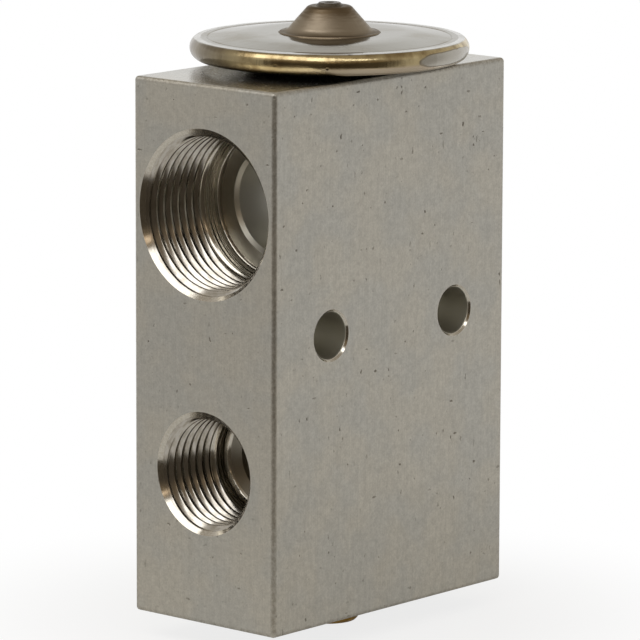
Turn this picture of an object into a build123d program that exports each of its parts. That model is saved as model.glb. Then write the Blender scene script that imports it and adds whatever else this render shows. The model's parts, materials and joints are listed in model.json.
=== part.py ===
from build123d import *
import math
import os

# Block expansion valve for a vehicle air conditioner, in millimetres.
# X runs across the narrow side, Y from the front ports to the rear ports, Z up.
# The origin is the middle of the base: the end face of the adjusting screw,
# which stands out below the block.

# ---------------------------------------------------------------- block
block_width = 25.4
block_depth = 48.0
block_height = 73.8
block_edge_round = 0.55

# ---------------------------------------------------------------- places on the block
spindle_offset = 1.55            # valve axis behind the block's middle
suction_port_height = 56.14      # port axes above the block's bottom
liquid_port_height = 20.79
evaporator_port_height = 24.6
mount_hole_height = 39.76
mount_hole_spacing = 25.8
mount_hole_middle = 0.4          # middle of the two mounting holes, behind the block's middle
mount_hole_radius = 3.25
mount_hole_chamfer = 0.33

# ---------------------------------------------------------------- screwed ports
thread_pitch = 25.4 / 18
thread_height = 0.47 * thread_pitch
mouth_flare = 0.55               # mouth radius over the thread's major radius
port_floor_round = 0.7

suction_thread_radius = 11.11    # 7/8 inch thread
suction_thread_length = 11.0
suction_relief_length = 3.3      # plain bore past the thread
suction_floor_drop = 0.4
suction_passage_radius = 7.24
suction_passage_chamfer = 0.5

liquid_thread_radius = 7.94      # 5/8 inch thread
liquid_thread_length = 9.9
liquid_relief_length = 2.6
liquid_floor_drop = 1.0
liquid_pilot_radius = 5.2
liquid_pilot_length = 2.8
liquid_passage_radius = 2.4

evaporator_thread_radius = 9.525  # 3/4 inch thread
evaporator_thread_length = 9.9
evaporator_relief_length = 2.1
evaporator_floor_drop = 0.9
evaporator_pilot_radius = 6.4
evaporator_pilot_length = 2.6
outlet_passage_radius = 2.4

# ---------------------------------------------------------------- valve chamber and seat
chamber_radius = 5.5
seat_height = 23.4
seat_web = 2.2
orifice_radius = 2.1
seat_chamfer = 0.25

# ---------------------------------------------------------------- clearances
screw_clearance = 0.05
running_clearance = 0.04
seal_clearance = 0.03
rest_gap = 0.05                  # ball off its seat when the valve is at rest

# ---------------------------------------------------------------- adjusting screw
stub_radius = 4.25
stub_length = 3.6
stub_chamfer = 0.3
socket_across_flats = 4.0
socket_depth = 3.6
screw_thread_radius = 6.0
screw_thread_length = 3.0
screw_recess = 0.6               # thread's lower face inside the block's bottom face
screw_land_length = 4.8
screw_bore_length = 4.7          # wider, screwed part of the chamber bore
adjuster_groove_radius = 4.0
adjuster_groove_width = 1.9
adjuster_groove_lift = 2.4       # groove above the thread
spring_guide_radius = 2.5
spring_guide_length = 2.0

# ---------------------------------------------------------------- ball, carrier and springs
ball_radius = 2.9
carrier_radius = 4.6
carrier_rim_lift = 0.95          # rim of the cup below the ball's centre
carrier_flange = 2.3
carrier_nose_radius = 2.5
carrier_nose_length = 2.4
cup_floor_radius = 0.9
damper_thickness = 0.28
damper_fingers = 8
damper_finger_width = 1.9
damper_finger_length = 3.6
damper_wall_gap = 0.06
spring_wire_radius = 0.55
spring_mean_radius = 3.3
spring_pitch = 1.9

# ---------------------------------------------------------------- push pin and its seal
pin_radius = 1.5
pin_tip_radius = 0.9
pin_tip_length = 4.4
pin_socket_depth = 2.0
seal_section_radius = 0.85
seal_pocket_depth = 4.4
washer_thickness = 0.8
washer_bore_gap = 0.12
retainer_thickness = 0.4
retainer_teeth = 6
retainer_tooth_depth = 0.9
retainer_tooth_width = 1.1
stack_gap = 0.03

# ---------------------------------------------------------------- sensing rod
rod_radius = 3.2
rod_end_gap = 1.4                # rod's lower end above the floor of the suction passage
rod_seat_depth = 2.5
rod_end_chamfer = 0.3

# ---------------------------------------------------------------- diaphragm head
head_radius = 19.1
rim_bottom = 1.02                # heights above the block's top face
rim_middle = 2.6
rim_top = 3.9
rim_bottom_inset = 1.0           # insets are measured inwards from head_radius
rim_top_inset = 0.7
weld_root_inset = 1.5
cover_thickness = 0.9
cover_edge_height = 3.95
ring_line_inset = 2.4
ring_line_half_width = 0.14
ring_line_depth = 0.1
dome_height = 4.55
dome_flat_inset = 9.1            # where the flat crown starts to bend down
dome_bend_inset = 6.1            # where the bend runs into the sloping ring
boss_base_radius = 6.9
boss_lip = 0.14                  # thickness of the boss's foot at its edge
boss_foot_radius = 5.4
boss_foot_height = 5.42
boss_shoulder_radius = 3.15
boss_shoulder_height = 7.98
boss_top_radius = 2.55
boss_top_height = 8.24
boss_wall = 0.9
plug_radius = 1.9
plug_top_radius = 1.45
plug_height = 0.42
plug_stem_radius = 1.1
plug_stem_length = 2.4
plug_dimple_radius = 0.8
plug_dimple_depth = 0.22
diaphragm_thickness = 0.15
diaphragm_seat_inset = 4.5
diaphragm_waves = 2
diaphragm_wave_height = 0.3
diaphragm_wave_zone = 3.3
neck_radius = 8.0
neck_bore_radius = 5.7
neck_length = 8.4
neck_hole_length = 9.4
lower_seat_radius = 10.4
lower_cover_thickness = 0.75
clamp_plane = 2.62               # diaphragm's underside above the block's top face
head_seal_recess = 1.5           # chamfer of the hole's mouth, which holds the head's O-ring
pad_edge_gap = 0.7               # pad's edge inside the diaphragm's first ring
pad_thickness = 1.0
pad_stem_radius = 4.6
pad_stem_length = 6.4
valve_lift = 0.7

# ---------------------------------------------------------------- places worked out
bottom = stub_length             # block's bottom face
top = bottom + block_height
front = -block_depth / 2
rear = block_depth / 2
seat = bottom + seat_height
suction_axis = bottom + suction_port_height
liquid_axis = bottom + liquid_port_height
evaporator_axis = bottom + evaporator_port_height
outlet_axis = seat + seat_web + outlet_passage_radius
suction_floor = suction_axis - suction_passage_radius
spindle = Location((0, spindle_offset, 0))

ball_drop = math.sqrt(ball_radius**2 - orifice_radius**2)
ball_centre = seat - ball_drop - rest_gap
ball_top = ball_centre + ball_radius
carrier_rim = ball_centre - carrier_rim_lift
carrier_foot = carrier_rim - carrier_flange
damper_foot = carrier_foot - damper_thickness
screw_thread_foot = bottom + screw_recess
screw_thread_top = screw_thread_foot + screw_thread_length
screw_top = screw_thread_top + screw_land_length
groove_foot = screw_thread_top + adjuster_groove_lift

pocket_foot = suction_floor - seal_pocket_depth
seal_outer = pin_radius + 2 * seal_section_radius + 2 * seal_clearance
pocket_radius = seal_outer + seal_clearance
washer_foot = pocket_foot + 2 * seal_section_radius + 2 * stack_gap
retainer_foot = washer_foot + washer_thickness + stack_gap

rim_bottom_radius = head_radius - rim_bottom_inset
rim_top_radius = head_radius - rim_top_inset
weld_root_radius = head_radius - weld_root_inset
ring_line_radius = head_radius - ring_line_inset
dome_flat_radius = head_radius - dome_flat_inset
dome_bend_radius = head_radius - dome_bend_inset
dome_edge_radius = ring_line_radius - ring_line_half_width
diaphragm_seat_radius = head_radius - diaphragm_seat_inset
diaphragm_wave_inner = diaphragm_seat_radius - diaphragm_wave_zone
pad_radius = diaphragm_wave_inner - pad_edge_gap
clamp = top + clamp_plane
diaphragm_top = clamp + diaphragm_thickness
pad_top = clamp - rest_gap
pad_foot = pad_top - pad_thickness
pad_stem_foot = pad_foot - pad_stem_length
rod_foot = suction_floor + rod_end_gap
rod_top = pad_stem_foot + rod_seat_depth
pin_top = rod_foot + pin_socket_depth

# The rear suction port is shallower by twice the spindle's offset,
# so that both ports stop equally far from the head's hole.
rear_suction_thread_length = suction_thread_length - 2 * spindle_offset


def turned(points):
    """Solid of revolution about Z from (radius, height) points."""
    return revolve(make_face(Polyline(*[(r, 0, z) for r, z in points], close=True)), Axis.Z)


def disc(radius, low, high):
    """Plain cylinder on Z between two heights."""
    return Pos(0, 0, (low + high) / 2) * Cylinder(radius, high - low)


def tube(outer, inner, low, high):
    """Plain ring on Z between two heights."""
    return disc(outer, low, high) - disc(inner, low - 1, high + 1)


def ring(centre_radius, section_radius, height):
    """Round O-ring on Z."""
    return Pos(0, 0, height) * Torus(centre_radius, section_radius)


def port_cutter(thread_radius, thread_length, relief, floor_drop, pilot_radius, pilot_length):
    """Screwed port as a cutter along Z: mouth at z = 0, depth along -Z.

    The screwed length is bored at the thread's major radius, the plain length
    past it at the minor radius, and a coned floor leads to the pilot bore.
    """
    minor = thread_radius - thread_height
    mouth = thread_radius + mouth_flare
    step = thread_length + thread_height
    floor = thread_length + relief
    profile = make_face(
        Polyline(
            (0, 0, 1),
            (mouth + 1, 0, 1),
            (thread_radius, 0, -mouth_flare),
            (thread_radius, 0, -thread_length),
            (minor, 0, -step),
            (minor, 0, -floor),
            (pilot_radius, 0, -floor - floor_drop),
            (pilot_radius, 0, -floor - floor_drop - pilot_length),
            (0, 0, -floor - floor_drop - pilot_length),
            close=True,
        )
    )
    corners = profile.vertices().filter_by_position(Axis.Z, -floor - 0.01, -floor + 0.01)
    profile = fillet(corners, port_floor_round)
    return revolve(profile, Axis.Z)


def port_on_face(cutter, y_face, height, facing):
    """Turn a port cutter so that its mouth lies on the front or rear face."""
    turn = 90 if facing < 0 else -90
    return Pos(0, y_face, height) * Rot(turn, 0, 0) * cutter


def bore_along_y(radius, y_from, y_to, height):
    """Plain cylinder along Y, used for the passages."""
    return Pos(0, (y_from + y_to) / 2, height) * Rot(90, 0, 0) * Cylinder(radius, abs(y_to - y_from))


def mounting_hole(y):
    """Cross hole along X with a small chamfer at both mouths."""
    half = block_width / 2
    wide = mount_hole_radius + mount_hole_chamfer
    cutter = turned(
        [
            (0, -half - 1),
            (wide + 1, -half - 1),
            (mount_hole_radius, -half + mount_hole_chamfer),
            (mount_hole_radius, half - mount_hole_chamfer),
            (wide + 1, half + 1),
            (0, half + 1),
        ]
    )
    return Pos(0, y, bottom + mount_hole_height) * Rot(0, 90, 0) * cutter


def spindle_bores():
    """All bores on the valve's own axis, from the base to the head."""
    chamber = turned(
        [
            (0, bottom - 1),
            (screw_thread_radius, bottom - 1),
            (screw_thread_radius, bottom + screw_bore_length),
            (chamber_radius, bottom + screw_bore_length + screw_thread_radius - chamber_radius),
            (chamber_radius, seat),
            (orifice_radius + seat_chamfer, seat),
            (orifice_radius, seat + seat_chamfer),
            (orifice_radius, outlet_axis),
            (0, outlet_axis),
        ]
    )
    guide = disc(pin_radius + running_clearance, outlet_axis, suction_axis)
    pocket = disc(pocket_radius, pocket_foot, suction_axis)
    head_hole = turned(
        [
            (0, suction_axis),
            (neck_bore_radius, suction_axis),
            (neck_bore_radius, top - neck_hole_length),
            (neck_radius + screw_clearance, top - neck_hole_length),
            (neck_radius + screw_clearance, top - head_seal_recess),
            (neck_radius + head_seal_recess + screw_clearance, top),
            (neck_radius + head_seal_recess + screw_clearance, top + 1),
            (0, top + 1),
        ]
    )
    return [spindle * part for part in (chamber, guide, pocket, head_hole)]


def valve_block():
    """Aluminium block with its ports, passages and mounting holes."""
    body = Pos(0, 0, bottom + block_height / 2) * Box(block_width, block_depth, block_height)
    body = fillet(body.edges(), block_edge_round)

    front_suction = port_cutter(
        suction_thread_radius,
        suction_thread_length,
        suction_relief_length,
        suction_floor_drop,
        suction_passage_radius + suction_passage_chamfer,
        0.01,
    )
    rear_suction = port_cutter(
        suction_thread_radius,
        rear_suction_thread_length,
        suction_relief_length,
        suction_floor_drop,
        suction_passage_radius + suction_passage_chamfer,
        0.01,
    )
    liquid = port_cutter(
        liquid_thread_radius,
        liquid_thread_length,
        liquid_relief_length,
        liquid_floor_drop,
        liquid_pilot_radius,
        liquid_pilot_length,
    )
    evaporator = port_cutter(
        evaporator_thread_radius,
        evaporator_thread_length,
        evaporator_relief_length,
        evaporator_floor_drop,
        evaporator_pilot_radius,
        evaporator_pilot_length,
    )
    front_floor = front + suction_thread_length + suction_relief_length + suction_floor_drop
    rear_floor = rear - rear_suction_thread_length - suction_relief_length - suction_floor_drop
    passage_rim = suction_passage_radius + suction_passage_chamfer
    passage_half = (rear_floor - front_floor) / 2
    suction_passage = turned(
        [
            (0, -passage_half),
            (passage_rim, -passage_half),
            (suction_passage_radius, -passage_half + suction_passage_chamfer),
            (suction_passage_radius, passage_half - suction_passage_chamfer),
            (passage_rim, passage_half),
            (0, passage_half),
        ]
    )
    passage_middle = (front_floor + rear_floor) / 2
    cutters = [
        port_on_face(front_suction, front, suction_axis, -1),
        port_on_face(rear_suction, rear, suction_axis, 1),
        port_on_face(liquid, front, liquid_axis, -1),
        port_on_face(evaporator, rear, evaporator_axis, 1),
        Pos(0, passage_middle, suction_axis) * Rot(90, 0, 0) * suction_passage,
        bore_along_y(liquid_passage_radius, front + liquid_thread_length, spindle_offset, liquid_axis),
        bore_along_y(
            outlet_passage_radius,
            spindle_offset - outlet_passage_radius,
            rear - evaporator_thread_length,
            outlet_axis,
        ),
    ]
    for side in (-1, 1):
        cutters.append(mounting_hole(mount_hole_middle + side * mount_hole_spacing / 2))
    cutters.extend(spindle_bores())
    for cutter in cutters:
        body = body - cutter
    return body


def adjusting_screw():
    """Brass screw: stub with a hexagon socket, thread, O-ring groove and spring guide."""
    groove_top = groove_foot + adjuster_groove_width
    land = chamber_radius - running_clearance
    thread = screw_thread_radius - screw_clearance
    body = turned(
        [
            (0, 0),
            (stub_radius - stub_chamfer, 0),
            (stub_radius, stub_chamfer),
            (stub_radius, screw_thread_foot),
            (thread - stub_chamfer, screw_thread_foot),
            (thread, screw_thread_foot + stub_chamfer),
            (thread, screw_thread_top - stub_chamfer),
            (land, screw_thread_top),
            (land, groove_foot),
            (adjuster_groove_radius, groove_foot),
            (adjuster_groove_radius, groove_top),
            (land, groove_top),
            (land, screw_top - stub_chamfer),
            (land - stub_chamfer, screw_top),
            (spring_guide_radius, screw_top),
            (spring_guide_radius, screw_top + spring_guide_length - stub_chamfer),
            (spring_guide_radius - stub_chamfer, screw_top + spring_guide_length),
            (0, screw_top + spring_guide_length),
        ]
    )
    socket = extrude(RegularPolygon(socket_across_flats / 2, 6, major_radius=False), socket_depth)
    return spindle * (body - socket)


def adjuster_seal():
    """O-ring in the adjusting screw's groove."""
    section = (chamber_radius - adjuster_groove_radius) / 2 - seal_clearance
    height = groove_foot + adjuster_groove_width / 2
    return spindle * ring((chamber_radius + adjuster_groove_radius) / 2, section, height)


def superheat_spring():
    """Coil spring between the adjusting screw and the ball carrier, ends ground flat."""
    low = screw_top
    high = damper_foot
    length = high - low + 2 * spring_wire_radius
    path = Helix(pitch=spring_pitch, height=length, radius=spring_mean_radius)
    path = Pos(0, 0, low - spring_wire_radius) * path
    start = Plane(origin=path @ 0, z_dir=path % 0)
    coil = sweep(start * Circle(spring_wire_radius), path=path, is_frenet=True)
    ends = disc(spring_mean_radius + 2 * spring_wire_radius, low, high)
    return spindle * (coil & ends)


def valve_ball():
    """Ball that closes the orifice from below."""
    return spindle * Pos(0, 0, ball_centre) * Sphere(ball_radius)


def ball_carrier():
    """Coned cup that holds the ball, with a nose inside the spring."""
    apex = ball_centre - ball_radius * math.sqrt(2) - screw_clearance
    body = turned(
        [
            (0, carrier_foot - carrier_nose_length),
            (carrier_nose_radius - stub_chamfer, carrier_foot - carrier_nose_length),
            (carrier_nose_radius, carrier_foot - carrier_nose_length + stub_chamfer),
            (carrier_nose_radius, carrier_foot),
            (carrier_radius, carrier_foot),
            (carrier_radius, carrier_rim - stub_chamfer),
            (carrier_radius - stub_chamfer, carrier_rim),
            (carrier_rim - apex, carrier_rim),
            (cup_floor_radius, apex + cup_floor_radius),
            (0, apex + cup_floor_radius),
        ]
    )
    return spindle * body


def damping_spring():
    """Thin ring under the carrier with fingers that rub the chamber wall."""
    outer = chamber_radius - damper_wall_gap
    inner = outer - damper_thickness
    plate = tube(outer, carrier_nose_radius + running_clearance, damper_foot, carrier_foot)
    skirt = tube(outer, inner, damper_foot, damper_foot + damper_finger_length)
    fingers = []
    for index in range(damper_fingers):
        slot = Pos(outer, 0, damper_foot + damper_finger_length / 2)
        slot = slot * Box(2 * outer, damper_finger_width, damper_finger_length)
        fingers.append(Rot(0, 0, 360 / damper_fingers * index) * slot)
    fingers = [skirt & finger for finger in fingers]
    rim_slots = tube(outer + 1, carrier_radius, damper_foot - 1, carrier_foot + 1)
    petals = plate - rim_slots
    body = petals
    for index, finger in enumerate(fingers):
        root = Pos((carrier_radius + outer) / 2, 0, (damper_foot + carrier_foot) / 2)
        root = root * Box(outer - carrier_radius + damper_thickness, damper_finger_width, damper_thickness)
        root = (Rot(0, 0, 360 / damper_fingers * index) * root) & disc(outer, damper_foot, carrier_foot)
        body = body + root + finger
    return spindle * body


def push_pin():
    """Pin from the sensing rod to the ball, thinner where it crosses the orifice."""
    body = turned(
        [
            (0, ball_top + stack_gap),
            (pin_tip_radius, ball_top + stack_gap),
            (pin_tip_radius, ball_top + pin_tip_length),
            (pin_radius, ball_top + pin_tip_length + pin_radius - pin_tip_radius),
            (pin_radius, pin_top - stack_gap),
            (0, pin_top - stack_gap),
        ]
    )
    return spindle * body


def rod_seal():
    """O-ring round the push pin, at the bottom of its pocket."""
    height = pocket_foot + stack_gap + seal_section_radius
    return spindle * ring(pin_radius + seal_clearance + seal_section_radius, seal_section_radius, height)


def seal_washer():
    """Backing washer on the O-ring."""
    body = tube(
        pocket_radius - running_clearance,
        pin_radius + washer_bore_gap,
        washer_foot,
        washer_foot + washer_thickness,
    )
    return spindle * body


def seal_retainer():
    """Push-in washer with teeth cut into its bore, so that the teeth can spring."""
    body = tube(
        pocket_radius - running_clearance,
        pin_radius + washer_bore_gap,
        retainer_foot,
        retainer_foot + retainer_thickness,
    )
    for index in range(retainer_teeth):
        notch = Pos(pocket_radius, 0, retainer_foot + retainer_thickness / 2)
        notch = notch * Box(2 * retainer_tooth_depth, retainer_tooth_width, 2 * retainer_thickness)
        body = body - Rot(0, 0, 360 / retainer_teeth * index) * notch
    return spindle * body


def sensing_rod():
    """Aluminium rod across the suction passage, with a socket for the pin."""
    body = disc(rod_radius, rod_foot, rod_top - stack_gap)
    body = chamfer(body.edges().filter_by(GeomType.CIRCLE), rod_end_chamfer)
    return spindle * (body - disc(pin_radius + stack_gap, rod_foot - 1, pin_top))


def diaphragm_pad():
    """Disc under the diaphragm with a stem that holds the sensing rod."""
    body = turned(
        [
            (0, pad_stem_foot),
            (pad_stem_radius, pad_stem_foot),
            (pad_stem_radius, pad_foot - rod_end_chamfer),
            (pad_stem_radius + rod_end_chamfer, pad_foot),
            (pad_radius - rod_end_chamfer, pad_foot),
            (pad_radius, pad_foot + rod_end_chamfer),
            (pad_radius, pad_top - rod_end_chamfer),
            (pad_radius - rod_end_chamfer, pad_top),
            (0, pad_top),
        ]
    )
    return spindle * (body - disc(rod_radius + stack_gap, pad_stem_foot - 1, rod_top))


def diaphragm():
    """Thin steel disc, clamped at its edge and pressed into shallow rings."""
    wave_pitch = (diaphragm_seat_radius - diaphragm_wave_inner) / diaphragm_waves
    upper = [(0, diaphragm_top), (diaphragm_wave_inner, diaphragm_top)]
    lower = [(0, clamp), (diaphragm_wave_inner, clamp)]
    for index in range(diaphragm_waves):
        start = diaphragm_wave_inner + index * wave_pitch
        for share, drop in ((0.25, diaphragm_wave_height), (0.5, diaphragm_wave_height), (0.75, 0), (1, 0)):
            upper.append((start + share * wave_pitch, diaphragm_top - drop))
            lower.append((start + share * wave_pitch, clamp - drop))
    upper.append((weld_root_radius, diaphragm_top))
    lower.append((weld_root_radius, clamp))
    return spindle * turned(upper + lower[::-1])


def lower_cover():
    """Lower cover of the head: seat on the block, clamping flange and screwed neck."""
    neck_foot = top - neck_length
    floor = top + lower_cover_thickness
    shoulder = lower_seat_radius + lower_cover_thickness
    flange = diaphragm_seat_radius
    body = turned(
        [
            (neck_bore_radius, neck_foot),
            (neck_radius - stub_chamfer, neck_foot),
            (neck_radius, neck_foot + stub_chamfer),
            (neck_radius, top),
            (lower_seat_radius, top),
            (flange + lower_cover_thickness, clamp - lower_cover_thickness),
            (weld_root_radius, clamp - lower_cover_thickness),
            (weld_root_radius, clamp),
            (flange, clamp),
            (flange - lower_cover_thickness, clamp - diaphragm_wave_height - rest_gap),
            (shoulder, floor),
            (neck_bore_radius + lower_cover_thickness, floor),
            (neck_bore_radius, floor - lower_cover_thickness),
        ]
    )
    return spindle * body


def head_seal():
    """O-ring in the chamfered mouth of the head's hole."""
    room = (head_seal_recess + screw_clearance) * (1 - 1 / math.sqrt(2))
    section = room - seal_clearance
    return spindle * ring(neck_radius + room, section, top - room)


def rim_weld():
    """Weld bead round the edges of both covers."""
    outline = Curve() + [
        Line((weld_root_radius, 0, top + cover_edge_height), (rim_top_radius, 0, top + rim_top)),
        ThreePointArc(
            (rim_top_radius, 0, top + rim_top),
            (head_radius, 0, top + rim_middle),
            (rim_bottom_radius, 0, top + rim_bottom),
        ),
        Line((rim_bottom_radius, 0, top + rim_bottom), (weld_root_radius, 0, top + rim_bottom)),
        Line((weld_root_radius, 0, top + rim_bottom), (weld_root_radius, 0, top + cover_edge_height)),
    ]
    return spindle * revolve(make_face(outline), Axis.Z)


def upper_cover():
    """Domed cover with a ring line near its edge and a hollow drawn boss."""
    edge = top + cover_edge_height
    crown = top + dome_height
    inner_edge = diaphragm_top
    chamber_roof = edge - cover_thickness
    bend = dome_bend_radius - dome_flat_radius
    slope = (crown - edge) / (bend / 2 + dome_edge_radius - dome_bend_radius)
    bend_drop = bend * slope / 2
    outside = Curve() + [
        Line((weld_root_radius, 0, edge), (ring_line_radius + ring_line_half_width, 0, edge)),
        Line(
            (ring_line_radius + ring_line_half_width, 0, edge),
            (ring_line_radius, 0, edge - ring_line_depth),
        ),
        Line(
            (ring_line_radius, 0, edge - ring_line_depth),
            (dome_edge_radius, 0, edge),
        ),
        Line((dome_edge_radius, 0, edge), (dome_bend_radius, 0, crown - bend_drop)),
        ThreePointArc(
            (dome_bend_radius, 0, crown - bend_drop),
            ((dome_bend_radius + dome_flat_radius) / 2, 0, crown - bend_drop / 4),
            (dome_flat_radius, 0, crown),
        ),
        Line((dome_flat_radius, 0, crown), (boss_base_radius, 0, crown)),
        Line((boss_base_radius, 0, crown), (boss_base_radius - boss_lip / 2, 0, crown + boss_lip)),
        ThreePointArc(
            (boss_base_radius - boss_lip / 2, 0, crown + boss_lip),
            (boss_foot_radius + 0.34 * (boss_base_radius - boss_foot_radius), 0, crown + 0.38),
            (boss_foot_radius, 0, top + boss_foot_height),
        ),
        Line(
            (boss_foot_radius, 0, top + boss_foot_height),
            (boss_shoulder_radius, 0, top + boss_shoulder_height),
        ),
        ThreePointArc(
            (boss_shoulder_radius, 0, top + boss_shoulder_height),
            (boss_top_radius + 0.38, 0, top + boss_top_height - 0.09),
            (boss_top_radius, 0, top + boss_top_height),
        ),
    ]
    inside = Polyline(
        (boss_top_radius, 0, top + boss_top_height),
        (plug_stem_radius + stack_gap, 0, top + boss_top_height),
        (plug_stem_radius + stack_gap, 0, top + boss_top_height - boss_wall),
        (boss_shoulder_radius - boss_wall, 0, top + boss_shoulder_height - boss_wall),
        (boss_foot_radius - boss_wall, 0, top + boss_foot_height - boss_wall),
        (boss_base_radius - boss_wall, 0, crown - cover_thickness),
        (diaphragm_seat_radius, 0, chamber_roof),
        (diaphragm_seat_radius, 0, inner_edge),
        (weld_root_radius, 0, inner_edge),
        (weld_root_radius, 0, edge),
    )
    return spindle * revolve(make_face(outside + inside), Axis.Z)


def charge_plug():
    """Pin welded into the boss's filling hole, with a dimpled head."""
    seat_face = top + boss_top_height
    body = turned(
        [
            (0, seat_face - plug_stem_length),
            (plug_stem_radius, seat_face - plug_stem_length),
            (plug_stem_radius, seat_face),
            (plug_radius, seat_face),
            (plug_top_radius, seat_face + plug_height),
            (plug_dimple_radius, seat_face + plug_height),
            (0, seat_face + plug_height - plug_dimple_depth),
        ]
    )
    return spindle * body


PARTS = {
    "valve_block": valve_block,
    "upper_cover": upper_cover,
    "lower_cover": lower_cover,
    "rim_weld": rim_weld,
    "charge_plug": charge_plug,
    "head_seal": head_seal,
    "diaphragm": diaphragm,
    "diaphragm_pad": diaphragm_pad,
    "sensing_rod": sensing_rod,
    "push_pin": push_pin,
    "rod_seal": rod_seal,
    "seal_washer": seal_washer,
    "seal_retainer": seal_retainer,
    "valve_ball": valve_ball,
    "ball_carrier": ball_carrier,
    "damping_spring": damping_spring,
    "superheat_spring": superheat_spring,
    "adjusting_screw": adjusting_screw,
    "adjuster_seal": adjuster_seal,
}

os.makedirs("parts", exist_ok=True)
for node, build in PARTS.items():
    export_step(build(), f"parts/{node}.step")
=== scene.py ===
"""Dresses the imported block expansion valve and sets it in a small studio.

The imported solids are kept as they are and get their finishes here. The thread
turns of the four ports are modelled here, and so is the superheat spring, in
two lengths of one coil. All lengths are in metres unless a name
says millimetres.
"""

import json
import logging
import math
from dataclasses import dataclass, field
from enum import Enum
from functools import reduce
from typing import Union

import bmesh
import bpy
from mathutils import Matrix, Vector

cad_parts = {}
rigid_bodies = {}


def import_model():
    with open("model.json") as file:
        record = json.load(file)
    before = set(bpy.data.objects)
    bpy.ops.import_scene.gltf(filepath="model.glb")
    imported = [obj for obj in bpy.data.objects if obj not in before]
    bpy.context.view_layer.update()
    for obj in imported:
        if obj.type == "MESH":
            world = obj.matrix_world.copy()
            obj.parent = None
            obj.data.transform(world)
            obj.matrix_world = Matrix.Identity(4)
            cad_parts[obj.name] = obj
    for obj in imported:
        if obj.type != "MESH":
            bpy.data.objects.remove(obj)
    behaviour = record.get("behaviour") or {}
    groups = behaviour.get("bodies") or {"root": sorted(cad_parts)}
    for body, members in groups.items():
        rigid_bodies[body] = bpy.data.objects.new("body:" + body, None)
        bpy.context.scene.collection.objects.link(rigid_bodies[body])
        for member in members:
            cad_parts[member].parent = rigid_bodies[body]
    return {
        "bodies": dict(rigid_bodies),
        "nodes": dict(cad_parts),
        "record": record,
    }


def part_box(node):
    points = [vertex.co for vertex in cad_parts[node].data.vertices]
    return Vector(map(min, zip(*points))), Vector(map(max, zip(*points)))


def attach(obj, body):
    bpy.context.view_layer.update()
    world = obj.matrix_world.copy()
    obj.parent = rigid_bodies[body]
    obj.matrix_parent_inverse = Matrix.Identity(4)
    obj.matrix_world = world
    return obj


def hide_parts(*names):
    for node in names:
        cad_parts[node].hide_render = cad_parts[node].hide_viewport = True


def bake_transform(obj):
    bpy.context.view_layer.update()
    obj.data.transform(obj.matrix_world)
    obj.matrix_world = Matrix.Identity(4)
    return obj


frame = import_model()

logging.basicConfig(level=logging.INFO, format="%(message)s")
log = logging.getLogger("expansion_valve")

Socket = bpy.types.NodeSocket
Value = Union[float, bpy.types.NodeSocket]
Pair = tuple[float, float]
Triple = tuple[float, float, float]

MM = 0.001
HOUSING = "housing"
BOSS_HEIGHT = 3.45 * MM  # from the foot of the boss to its top
BEAD_LIFT = 2.544 * MM  # the weld bead's middle above the block
BEAD_RADIUS = 1.66 * MM  # of the weld bead's own section
MOUTH_EDGE_MM = 0.58  # how far a port's mouth cone reaches past the thread
HOLE_EDGE_MM = 0.36  # how far a bolt hole's chamfer reaches past the hole
THREAD_FLANK = math.tan(math.radians(30))
SMOOTH_BELOW = math.radians(32)
PORTS = ("suction_outlet", "suction_inlet", "liquid_inlet", "evaporator_outlet")


class Turn(Enum):
    """Which way a port opens out of the block."""

    FRONT = -1
    REAR = 1


class Mixing(Enum):
    """How two colours are put together."""

    BLEND = "MIX"
    MULTIPLY = "MULTIPLY"


class Kind(Enum):
    """The finishes that the valve's pieces have."""

    BLOCK = "block"
    THREAD = "thread"
    COVER = "cover"
    WELD = "weld"
    PLUG = "plug"
    INNER_STEEL = "inner_steel"
    SPRING_STEEL = "spring_steel"
    BALL = "ball"
    ROD = "rod"
    BRASS = "brass"
    SEAL = "seal"


NODE_FINISHES = {
    Kind.BLOCK: ("valve_block",),
    Kind.COVER: ("upper_cover", "lower_cover"),
    Kind.WELD: ("rim_weld",),
    Kind.PLUG: ("charge_plug",),
    Kind.INNER_STEEL: ("diaphragm_pad", "push_pin", "seal_washer", "ball_carrier"),
    Kind.SPRING_STEEL: ("diaphragm", "seal_retainer", "damping_spring", "superheat_spring"),
    Kind.BALL: ("valve_ball",),
    Kind.ROD: ("sensing_rod",),
    Kind.BRASS: ("adjusting_screw",),
    Kind.SEAL: ("head_seal", "rod_seal", "adjuster_seal"),
}


# ------------------------------------------------------------------ helpers


def linear(hex_colour: str) -> tuple[float, float, float, float]:
    """Turn an sRGB hex colour into the linear colour that a socket holds.

    Args:
        hex_colour: six hex digits, such as "8C8880".

    Returns:
        Linear red, green, blue and an alpha of 1.
    """
    parts = [int(hex_colour[i : i + 2], 16) / 255 for i in (0, 2, 4)]
    out = [c / 12.92 if c <= 0.04045 else ((c + 0.055) / 1.055) ** 2.4 for c in parts]
    return (out[0], out[1], out[2], 1.0)


def add(
    tree: bpy.types.NodeTree, kind: str, links: dict | None = None, **settings: object
) -> bpy.types.Node:
    """Add a node, set its properties and sockets, and link what feeds it.

    Args:
        tree: the node tree that gets the node.
        kind: the node's class name without "ShaderNode".
        links: socket name or index to the output socket that feeds it.
        settings: properties by name; a name of the form in_KEY sets an input,
            where KEY is a socket's number or its name with underscores.

    Returns:
        The new node.
    """
    node = tree.nodes.new("ShaderNode" + kind)
    for name, value in settings.items():
        if not name.startswith("in_"):
            setattr(node, name, value)
    for name, value in settings.items():
        if name.startswith("in_"):
            key = name[3:]
            socket = node.inputs[int(key) if key.isdigit() else key.replace("_", " ")]
            socket.default_value = value
    for key, source in (links or {}).items():
        tree.links.new(source, node.inputs[key])
    return node


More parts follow.
